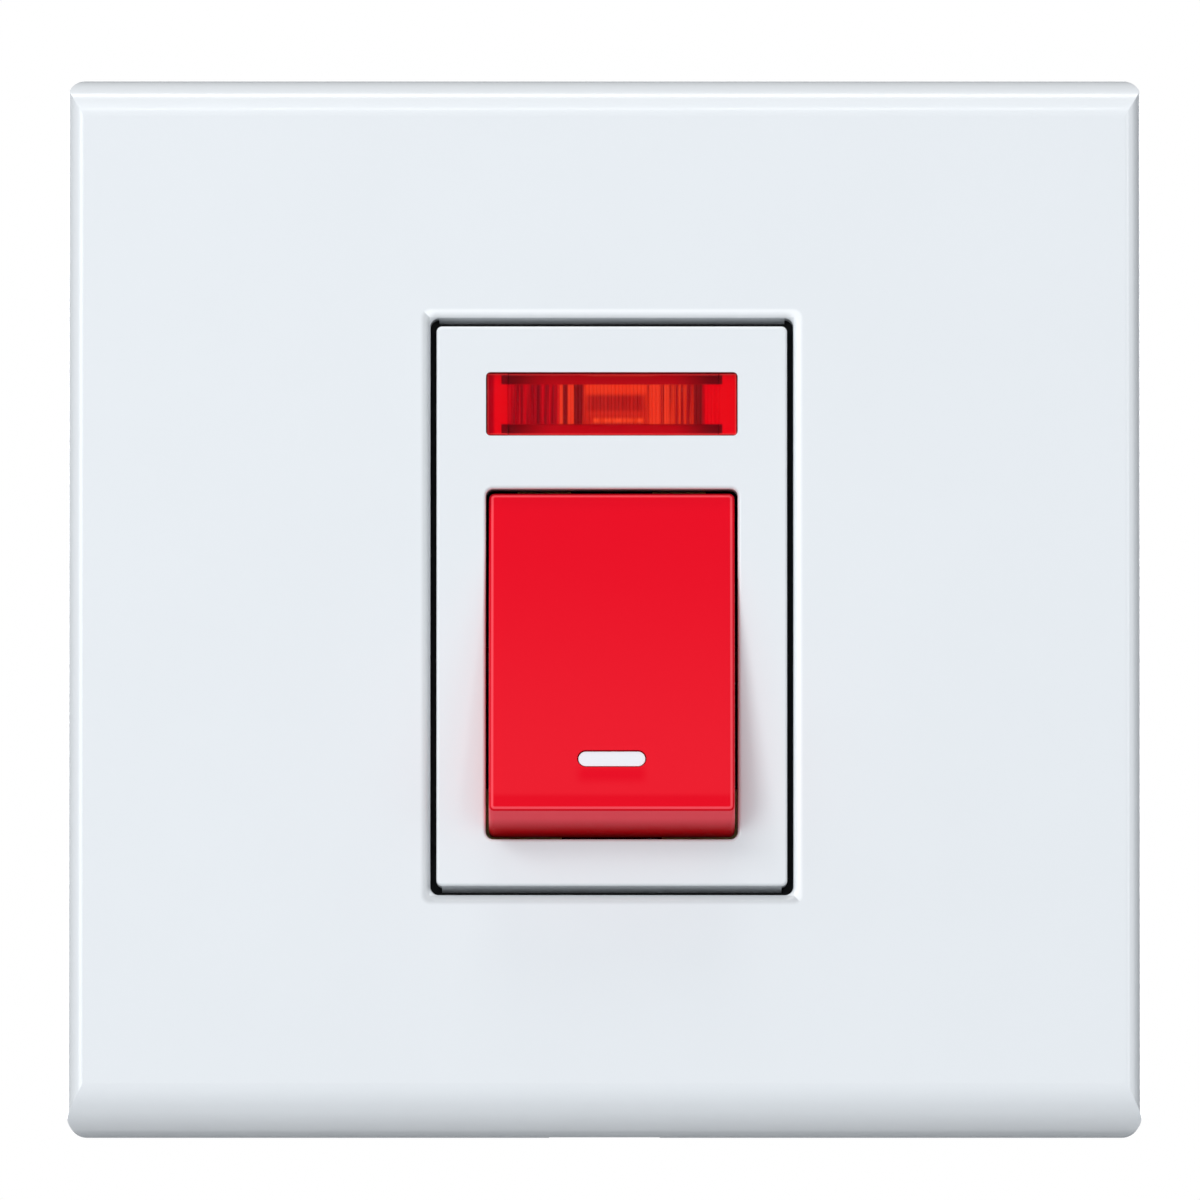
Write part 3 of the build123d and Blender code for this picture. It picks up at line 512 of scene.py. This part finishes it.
def rocker_plastic(name):
    """Red moulding with painted light: a painted sheen, paler towards its lower end, painted highlights
    along its edges, and painted shade just above its lower lip, under its marker, on its hubs and low on
    its end face, which has a painted reflection above that.
    """
    material, shader = new_material(name)
    shader.inputs["Specular IOR Level"].default_value = ROCKER_GLOSS
    x, y, z = axes_of(material, millimetres(material))
    tilt = radians(ROCKER_TILT)
    normal = add_node(material, "ShaderNodeTexCoord").outputs["Normal"]
    facing = along(material, normal, (0.0, -cos(tilt), sin(tilt)))
    # Painted sheen: paler towards the lower end
    tint = mix_colour(material, rise(material, z, *ROCKER_SHEEN_FADE), *ROCKER_PAINTED_SHEEN_REDS)
    # Painted shade: a deeper red band just above the lower lip
    tint = mix_colour(material, zone(material, z, ROCKER_LIP, ROCKER_LIP_EDGE), tint, ROCKER_LIP_PAINTED_SHADE)
    tint = mix_colour(material, marker_shade(material, x, z), tint, MARK_SHADE_RED)
    # Painted shade low on the lower end face, with a painted reflection above it
    turned = rise(material, facing, END_FACING[1], END_FACING[0])
    below = rise(material, z, ROCKER_LIP[1], ROCKER_LIP[0])
    end_painted_tint = mix_colour(material, rise(material, z, *END_FADE), *END_PAINTED_SHADE_AND_REFLECTION)
    tint = mix_colour(material, overlap(material, turned, below), tint, end_painted_tint)
    # Painted highlight along the rounded edges of the rocker
    tint = mix_colour(material, zone(material, facing, EDGE_FACING, EDGE_SOFTNESS), tint, EDGE_PAINTED_HIGHLIGHT)
    # Painted shade on the hubs, deep in the hole behind the bezel
    tint = mix_colour(material, painted_hub_shade(material, y, z), tint, HUB_PAINTED_SHADE)
    link(material, tint, shader.inputs["Base Color"])
    satin = vary(material, noise(material, GLOSS_SPOTS), *ROCKER_ROUGHNESS)
    link(material, satin, shader.inputs["Roughness"])
    add_bump(material, shader, noise(material, FINE_GRAIN, GRAIN_DETAIL), ROCKER_RELIEF, GRAIN_HEIGHT)
    return material


def bare_metal(name, colour, roughness, stretch):
    """Metal with patchy tarnish and fine marks, longer along an axis that has a small stretch."""
    material, shader = new_material(name)
    shader.inputs["Metallic"].default_value = 1.0
    drawn = add_node(material, "ShaderNodeMapping", Scale=stretch)
    link(material, place_of(material), drawn.inputs["Vector"])
    marks = noise(material, METAL_MARKS, MARK_DETAIL, MARK_ROUGHNESS, drawn.outputs["Vector"])
    tarnish = vary(material, noise(material, TARNISH_SPOTS))
    tint = mix_colour(material, tarnish, shade(colour, 1 - TARNISH_TONE), shade(colour, 1 + TARNISH_TONE))
    link(material, tint, shader.inputs["Base Color"])
    low, high = (roughness + change for change in METAL_SPREAD)
    link(material, vary(material, marks, low, high), shader.inputs["Roughness"])
    add_bump(material, shader, marks, MARK_RELIEF, MARK_HEIGHT)
    return material


def lamp_glass(name):
    """Thin clear glass of the lamp, with faint ripples."""
    material, shader = new_material(name)
    shader.inputs["Base Color"].default_value = opaque(GLASS_TINT)
    shader.inputs["Transmission Weight"].default_value = 1.0
    shader.inputs["IOR"].default_value = GLASS_IOR
    polish = vary(material, noise(material, CLEAR_SPOTS), *GLASS_ROUGHNESS)
    link(material, polish, shader.inputs["Roughness"])
    add_bump(material, shader, noise(material, GLASS_RIPPLES, GRAIN_DETAIL), GLASS_RELIEF, GRAIN_HEIGHT)
    return material


def clear_red(name):
    """Clear red face of the lens, seen through, with a weak gloss that grows towards a grazing view."""
    material, gloss = new_material(name)
    gloss.inputs["Metallic"].default_value = 1.0
    gloss.inputs["Base Color"].default_value = opaque(PLAIN_WHITE)
    polish = vary(material, noise(material, CLEAR_SPOTS), *PANE_ROUGHNESS)
    link(material, polish, gloss.inputs["Roughness"])
    clear = add_node(material, "ShaderNodeBsdfTransparent")
    drift = vary(material, noise(material, PANE_SPOTS))
    link(material, mix_colour(material, drift, *PANE_TINTS), clear.inputs["Color"])
    rim = add_node(material, "ShaderNodeFresnel", IOR=PANE_IOR)
    both = mix_shaders(material, rim.outputs["Fac"], clear.outputs["BSDF"], gloss.outputs["BSDF"])
    output = next(node for node in material.node_tree.nodes if node.type == "OUTPUT_MATERIAL")
    link(material, both, output.inputs["Surface"])
    return material


def slot_materials():
    """The material of every slot in the record."""
    materials = {name: moulded_plastic(name, **look) for name, look in PLASTICS.items()}
    materials.update({name: bare_metal(name, **look) for name, look in METALS.items()})
    materials["plate_white"] = moulded_plastic("plate_white", overlay=painted_lip_light, **PLATE_LOOK)
    materials["rocker_red"] = rocker_plastic("rocker_red")
    materials["lamp_glass"] = lamp_glass("lamp_glass")
    return materials


def dress_nodes():
    """Gives every CAD node the material of its slot."""
    materials = slot_materials()
    for row in frame["record"]["subparts"]:
        data = frame["nodes"][row["node"]].data
        data.materials.clear()
        data.materials.append(materials[row["material_slot"]])


def core_halves():
    """Half the width and half the height of the lens insert."""
    return tuple(size / 2 - CORE_MARGIN for size in LENS_SIZE)


def lens_core_look(middle):
    """Red insert with upright streaks, dark bands above and below, the lamp's orange glow painted on, and a
    painted glint and rim.
    """
    material, shader = new_material("lens_core")
    shader.inputs["Specular IOR Level"].default_value = 0.0
    local = millimetres(material, middle)
    x, _, z = axes_of(material, local)
    across = maths(material, "ABSOLUTE", x)
    height = maths(material, "ABSOLUTE", z)
    half_x, half_z = core_halves()

    def streaks(pitch, offset):
        """Upright streaks about that many mm apart."""
        drawn = add_node(material, "ShaderNodeMapping", Location=(offset, 0.0, 0.0), Scale=STREAK_STRETCH)
        link(material, local, drawn.inputs["Vector"])
        flow = noise(material, 1 / pitch, STREAK_DETAIL, STREAK_ROUGHNESS, drawn.outputs["Vector"])
        return rise(material, flow, *STREAK_CONTRAST)

    def lay(under, columns, rows, factor, tones):
        """Lays two tones, blended by a factor, over a colour where columns and rows cross."""
        tone = mix_colour(material, factor, *tones)
        return mix_colour(material, overlap(material, columns, rows), under, tone)

    rows = zone(material, z, *FLUTE_ROWS)
    colour = mix_colour(material, rise(material, x, *PAD_FADE), *PAD_TONES)
    colour = lay(colour, zone(material, x, *FLUTED_ACROSS), rows, streaks(*FLUTE_STREAKS), FLUTE_TONES)
    # The lamp's orange glow, painted on: glow, lamp, ember and bead tones
    colour = lay(colour, zone(material, x, *GLOW_ACROSS), rows, streaks(*GLOW_STREAKS), GLOW_TONES)
    colour = lay(colour, zone(material, x, *LAMP_ACROSS), rows, rise(material, z, *LAMP_FADE), LAMP_TONES)
    ember_rows = zone(material, z, *EMBER_ROWS)
    colour = lay(colour, zone(material, x, *EMBER_ACROSS), ember_rows, streaks(*EMBER_STREAKS), EMBER_TONES)
    bead_rows = zone(material, z, *BEAD_ROWS)
    colour = lay(colour, zone(material, x, *BEADS_ACROSS), bead_rows, streaks(*BEAD_STREAKS), PAINTED_GLOW_BEADS)
    for tone, spans in SINGLE_STREAKS:
        for span in spans:
            streak = overlap(material, zone(material, x, span, STREAK_EDGE), rows)
            colour = mix_colour(material, streak, colour, tone)
    band_rows = zone(material, height, *BAND_ROWS)
    band_fade = rise(material, across, *BAND_FADE)
    colour = lay(colour, zone(material, x, *BAND_ACROSS), band_rows, band_fade, BAND_TONES)
    crest = rise(material, z, half_z - 3 * LENS_RIM, half_z - LENS_RIM)
    glint = overlap(material, zone(material, x, *GLINT_ACROSS), crest)
    colour = mix_colour(material, glint, colour, GLINT_TONE)
    # Painted rim: a highlight line inside a line of shade
    for depth, tone in RIM_PAINTED_LIGHT:
        sides = rise(material, across, half_x - depth, half_x - depth + LENS_RIM / 2)
        ends = rise(material, height, half_z - depth, half_z - depth + LENS_RIM / 2)
        colour = mix_colour(material, maths(material, "MAXIMUM", sides, ends), colour, tone)
    link(material, colour, shader.inputs["Base Color"])
    satin = vary(material, noise(material, CLEAR_SPOTS), *CORE_ROUGHNESS)
    link(material, satin, shader.inputs["Roughness"])
    return material


class LensBuilder:
    """Collects the blocks and flutes of the lens insert, measured from the middle of the lens face."""

    def __init__(self, middle):
        self.shape = bmesh.new()
        self.middle = middle

    def spot(self, x, depth, z):
        """A point in the part's frame."""
        return self.middle + Vector((x, depth, z)) * MM

    def solid(self, outline, low, high):
        """Prism of that outline of x and depth, from low to high."""
        rings = [[self.shape.verts.new(self.spot(x, d, z)) for x, d in outline] for z in (low, high)]
        count = len(outline)
        self.shape.faces.new(rings[0])
        self.shape.faces.new(rings[1][::-1])
        for i in range(count):
            j = (i + 1) % count
            self.shape.faces.new((rings[0][j], rings[0][i], rings[1][i], rings[1][j]))

    def block(self, across, depth, upright, back=TRAY_DEPTH):
        """Block with chamfered front edges along its height."""
        left, right = across
        chamfer = min(CORE_CHAMFER, (right - left) / 4)
        outline = [
            (left, back),
            (left, depth + chamfer),
            (left + chamfer, depth),
            (right - chamfer, depth),
            (right, depth + chamfer),
            (right, back),
        ]
        self.solid(outline, *upright)

    def flutes(self, across, upright):
        """Row of half-round flutes that fills a span."""
        left, right = across
        count = max(1, round((right - left) / FLUTE_PITCH))
        pitch = (right - left) / count
        for i in range(count):
            centre = left + (i + 0.5) * pitch
            arc = [(centre - pitch / 2, TRAY_DEPTH)]
            for step in range(FLUTE_SEGMENTS + 1):
                turn = pi * step / FLUTE_SEGMENTS
                depth = FLUTE_TOP + FLUTE_DEPTH * (1 - sin(turn))
                arc.append((centre - cos(turn) * pitch / 2, depth))
            arc.append((centre + pitch / 2, TRAY_DEPTH))
            self.solid(arc, *upright)

    def mesh(self, name):
        """The finished mesh."""
        mesh = bpy.data.meshes.new(name)
        bmesh.ops.recalc_face_normals(self.shape, faces=self.shape.faces)
        self.shape.to_mesh(mesh)
        self.shape.free()
        return mesh


def lens_middle():
    """Middle of the lens face in the part's frame."""
    low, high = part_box("neon_lens")
    return Vector(((low.x + high.x) / 2, low.y, (low.z + high.z) / 2))


def add_piece(name, mesh, materials, body):
    """Puts a mesh in the scene, on a body, with its materials."""
    piece = bpy.data.objects.new(name, mesh)
    bpy.context.scene.collection.objects.link(piece)
    for material in materials:
        mesh.materials.append(material)
    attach(piece, body)
    return piece


def make_lens_core():
    """Fluted insert behind the lens face, between two end pads and two bands."""
    middle = lens_middle()
    core = LensBuilder(middle)
    half_x, half_z = core_halves()
    core.block((-half_x, half_x), TRAY_DEPTH, (-half_z, half_z), CORE_BACK)
    core.block((-half_x, PAD_START[0]), PAD_DEPTH, (-half_z, half_z))
    core.block((PAD_START[1], half_x), PAD_DEPTH, (-half_z, half_z))
    for low, high in ((-half_z, -BAND_EDGE), (BAND_EDGE, half_z)):
        core.block(PAD_START, BAND_DEPTH, (low, high))
    core.flutes(PAD_START, (-BAND_EDGE, BAND_EDGE))
    add_piece("lens_core", core.mesh("lens_core"), [lens_core_look(middle)], "base")


def round_edges(shape, edges, radius, segments):
    """Rounds the given edges of a mesh, with the radius in mm."""
    bmesh.ops.bevel(shape, geom=edges, offset=radius * MM, segments=segments, profile=0.5, affect="EDGES")


def make_lens_pane():
    """Clear face of the lens with rounded corners and a small rounded front edge."""
    middle = lens_middle()
    shape = bmesh.new()
    bmesh.ops.create_cube(shape, size=1.0)
    size = Vector((LENS_SIZE[0], PANE_THICKNESS, LENS_SIZE[1])) * MM
    for vert in shape.verts:
        vert.co = Vector([c * s for c, s in zip(vert.co, size)]) + middle + Vector((0, size.y / 2, 0))
    corners = [e for e in shape.edges if abs(e.verts[0].co.y - e.verts[1].co.y) > size.y / 2]
    round_edges(shape, corners, LENS_CORNER, LENS_CORNER_SEGMENTS)
    front = [e for e in shape.edges if all(v.co.y - middle.y < size.y / 4 for v in e.verts)]
    round_edges(shape, front, LENS_EDGE, LENS_EDGE_SEGMENTS)
    mesh = bpy.data.meshes.new("lens_pane")
    shape.to_mesh(mesh)
    shape.free()
    pane = add_piece("lens_pane", mesh, [clear_red("lens_pane")], "base")
    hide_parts("neon_lens")


def make_springs():
    """Copies of the coil springs, each with a mesh of its own on the body of its joint's parent, in place
    of the CAD springs.
    """
    for joint in frame["joints"]:
        for row in joint.get("deforming_nodes", []):
            spring = row["node"]
            mesh = frame["nodes"][spring].data.copy()
            coil = add_piece(spring + "_coil", mesh, [], joint["parent"])
            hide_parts(spring)
            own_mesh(coil)


def make_floor():
    """Plain pale disc well below the plate."""
    mesh = bpy.data.meshes.new("floor")
    shape = bmesh.new()
    bmesh.ops.create_circle(shape, cap_ends=True, segments=FLOOR_SEGMENTS, radius=FLOOR_RADIUS)
    shape.to_mesh(mesh)
    shape.free()
    floor = bpy.data.objects.new("floor", mesh)
    floor.location = (0, 0, cad_box[0].z - FLOOR_DROP)
    bpy.context.scene.collection.objects.link(floor)
    mesh.materials.append(moulded_plastic("floor_pale", **FLOOR_LOOK))


def make_world():
    """White background. What lights the part is a dim surround that glows in front and behind."""
    world = bpy.data.worlds.new("studio")
    bpy.context.scene.world = world
    world.use_nodes = True
    world.node_tree.nodes.clear()
    direction = add_node(world, "ShaderNodeTexCoord").outputs["Generated"]
    level = SURROUND_LEVEL
    for side, strength in SURROUND_GLOWS:
        ahead = maths(world, "MAXIMUM", along(world, direction, side))
        glow = maths(world, "MULTIPLY", maths(world, "POWER", ahead, GLOW_POWER), strength)
        level = maths(world, "ADD", glow, level)
    fill = add_node(world, "ShaderNodeBackground", Color=opaque(SURROUND_TINT))
    link(world, level, fill.inputs["Strength"])
    seen = add_node(world, "ShaderNodeBackground", Color=opaque(PLAIN_WHITE))
    from_camera = add_node(world, "ShaderNodeLightPath").outputs["Is Camera Ray"]
    both = mix_shaders(world, from_camera, fill.outputs["Background"], seen.outputs["Background"])
    link(world, both, add_node(world, "ShaderNodeOutputWorld").inputs["Surface"])


def make_lights():
    """Rectangular soft lights, which face the part from all round it."""
    for name, azimuth, elevation, spread, radiance, colour in LIGHTS:
        data = bpy.data.lights.new(name, "AREA")
        data.shape = "RECTANGLE"
        data.size, data.size_y = (2 * LIGHT_DISTANCE * tan(radians(angle / 2)) for angle in spread)
        data.energy = radiance * pi * data.size * data.size_y
        data.color = colour
        lamp = bpy.data.objects.new(name, data)
        a, e = radians(azimuth), radians(elevation)
        back = Vector((sin(a) * cos(e), -cos(a) * cos(e), sin(e)))
        lamp.location = back * LIGHT_DISTANCE
        lamp.rotation_mode = "QUATERNION"
        lamp.rotation_quaternion = back.to_track_quat("Z", "Y")
        bpy.context.scene.collection.objects.link(lamp)


def make_camera():
    """Looks at the plate from the photo's side, with the plate where the photo has it."""
    data = bpy.data.cameras.new("camera")
    data.lens = CAMERA_LENS
    data.sensor_width = SENSOR_WIDTH
    data.clip_end = CAMERA_REACH
    camera = bpy.data.objects.new("camera", data)
    e = radians(CAMERA_ELEVATION)
    back = Vector((0, -cos(e), sin(e)))
    up = Vector((0, sin(e), cos(e)))
    middle = IMAGE_PIXELS / 2
    right_mm = (middle - PLATE_CENTRE_PX[0]) / PIXELS_PER_MM
    up_mm = (PLATE_CENTRE_PX[1] - middle) / PIXELS_PER_MM
    front = Vector((0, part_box("cover_plate")[0].y, 0))
    target = front + (Vector((right_mm, 0, 0)) + up * up_mm) * MM
    distance = IMAGE_PIXELS / PIXELS_PER_MM * MM * CAMERA_LENS / SENSOR_WIDTH
    camera.location = target + back * distance
    camera.rotation_mode = "QUATERNION"
    camera.rotation_quaternion = back.to_track_quat("Z", "Y")
    bpy.context.scene.collection.objects.link(camera)
    bpy.context.scene.camera = camera


dress_nodes()
make_lens_core()
make_lens_pane()
make_springs()
make_floor()
make_world()
make_lights()
make_camera()
bpy.context.scene.view_settings.view_transform = "Standard"
